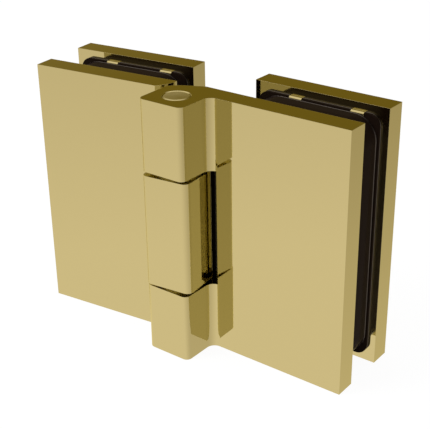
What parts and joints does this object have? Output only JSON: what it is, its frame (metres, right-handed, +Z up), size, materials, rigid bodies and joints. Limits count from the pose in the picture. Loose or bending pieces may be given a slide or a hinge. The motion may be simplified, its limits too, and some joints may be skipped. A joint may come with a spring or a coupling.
{
  "type": "shower door hinge",
  "caption": "Glass-to-glass shower door hinge: two polished brass clamps with black gaskets, joined by a knuckle and pin in front of the glass.",
  "frame": {"origin": "on the pin axis, level with the foot of both plates", "axes": "+Z up along the pin, +X along the fixed right clamp, +Y from the viewer's side towards the rear plates; the left clamp rests turned 6.5 degrees open, its outer end towards -Y"},
  "size_m": [0.123, 0.0443, 0.09],
  "materials": {
    "polished_brass": "mirror polish",
    "pin_brass": "polished",
    "black_rubber": "smooth",
    "packer_rubber": "satin",
    "clear_nylon": "natural nylon",
    "black_nylon": "moulded",
    "steel_screws": "turned"
  },
  "bodies": {
    "right_clamp": {"right_leaf": "polished_brass", "right_rear_plate": "polished_brass", "right_front_gasket": "black_rubber", "right_rear_gasket": "black_rubber", "right_glass_packer": "packer_rubber", "right_screw_sleeves": "clear_nylon", "right_clamp_screws": "steel_screws", "hinge_pin": "pin_brass", "pin_lock_screws": "steel_screws"},
    "left_clamp": {"left_leaf": "polished_brass", "left_rear_plate": "polished_brass", "left_front_gasket": "black_rubber", "left_rear_gasket": "black_rubber", "left_glass_packer": "packer_rubber", "left_screw_sleeves": "clear_nylon", "left_clamp_screws": "steel_screws", "lower_bush": "black_nylon", "upper_bush": "black_nylon", "lower_thrust_washer": "black_nylon", "upper_thrust_washer": "black_nylon"}
  },
  "joints": [
    {"name": "pin_pivot", "type": "hinge", "parent": "right_clamp", "child": "left_clamp", "pos_m": [0, 0, 0.045], "axis": [0, 0, 1], "range_deg": [-6.5, 173.5]}
  ]
}
